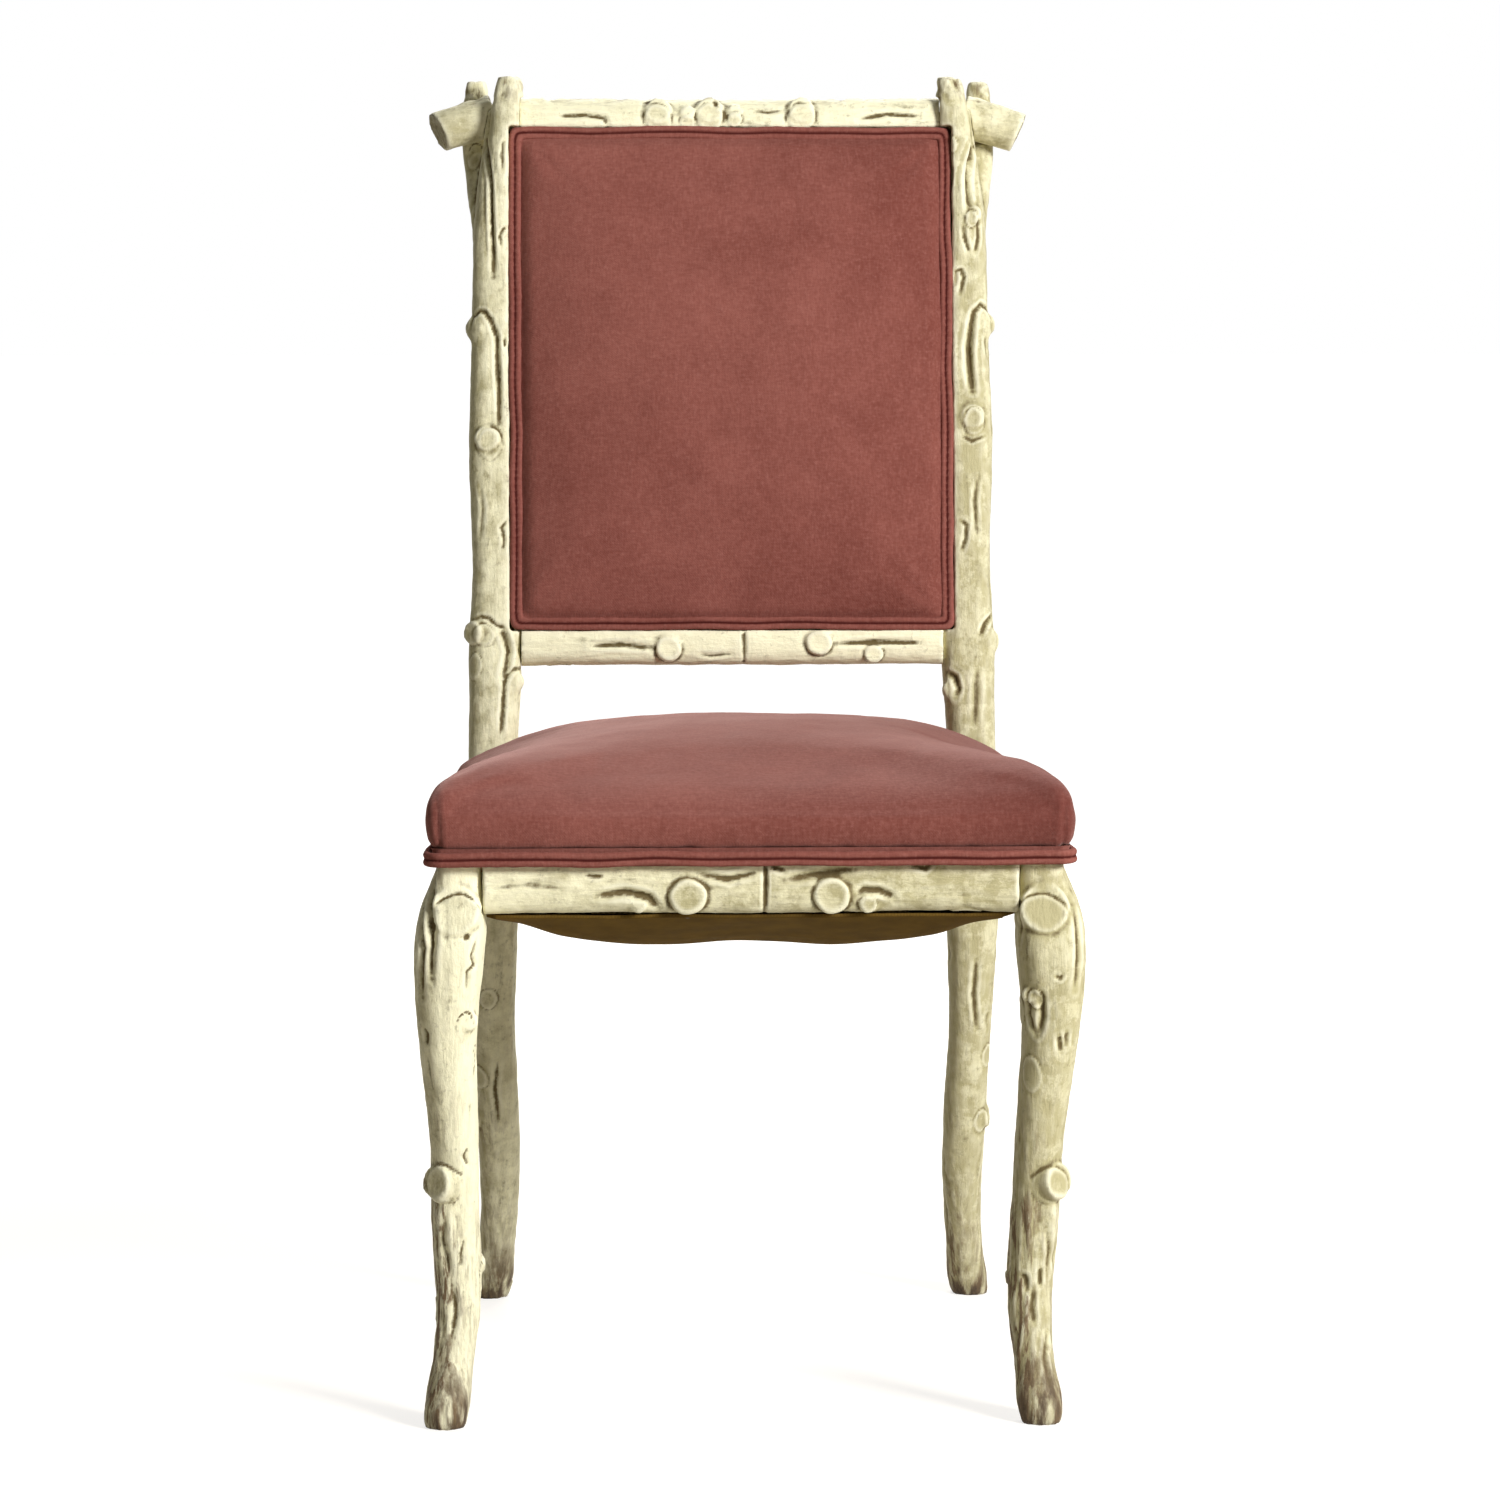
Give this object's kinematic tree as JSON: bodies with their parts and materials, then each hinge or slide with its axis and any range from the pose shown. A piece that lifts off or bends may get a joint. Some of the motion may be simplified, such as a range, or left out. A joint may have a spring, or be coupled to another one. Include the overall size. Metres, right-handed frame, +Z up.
{
  "type": "faux bois side chair",
  "caption": "Upholstered side chair with a painted frame carved as pruned branches: cabriole legs, forked back posts, crest log ends and a domed seat with double welt.",
  "frame": {"origin": "on the floor, under the middle of the chair's box", "axes": "+Z up, -Y to the front that a sitter faces, +X to the right of someone who faces the chair"},
  "size_m": [0.5127, 0.5758, 1.04],
  "materials": {
    "painted_wood": "aged cream paint with a grey-brown glaze in the carving",
    "plain_wood": "plain planed hardwood",
    "cover_cloth": "dusty rose upholstery cloth with a short nap",
    "welt_cloth": "the cover cloth wrapped round two cords",
    "webbing": "woven jute",
    "hessian": "coarse jute cloth",
    "padding": "cotton felt over fibre stuffing",
    "dust_cloth": "thin brown lining cloth",
    "steel": "plain steel"
  },
  "bodies": {
    "root": {"back_padding": "padding", "back_webbing_crosswise": "webbing", "back_webbing_upright": "webbing", "corner_block_screws": "steel", "crest_rail": "painted_wood", "crest_rail_dowels": "plain_wood", "dust_cover": "dust_cloth", "dust_cover_tacks": "steel", "front_left_corner_block": "plain_wood", "front_rail_dowels": "plain_wood", "front_right_corner_block": "plain_wood", "front_seat_rail": "painted_wood", "inside_back_cover": "cover_cloth", "inside_back_welt": "welt_cloth", "left_front_leg": "painted_wood", "left_log_end": "painted_wood", "left_rear_post": "painted_wood", "left_side_rail": "painted_wood", "log_end_dowels": "plain_wood", "lower_back_rail": "painted_wood", "lower_back_rail_dowels": "plain_wood", "outside_back_cover": "cover_cloth", "outside_back_welt": "welt_cloth", "rear_left_corner_block": "plain_wood", "rear_rail_dowels": "plain_wood", "rear_right_corner_block": "plain_wood", "rear_seat_rail": "painted_wood", "right_front_leg": "painted_wood", "right_log_end": "painted_wood", "right_rear_post": "painted_wood", "right_side_rail": "painted_wood", "seat_cover": "cover_cloth", "seat_hessian": "hessian", "seat_padding": "padding", "seat_springs": "steel", "seat_webbing_crosswise": "webbing", "seat_webbing_lengthwise": "webbing", "seat_welt": "welt_cloth", "side_rail_dowels": "plain_wood"}
  },
  "joints": []
}
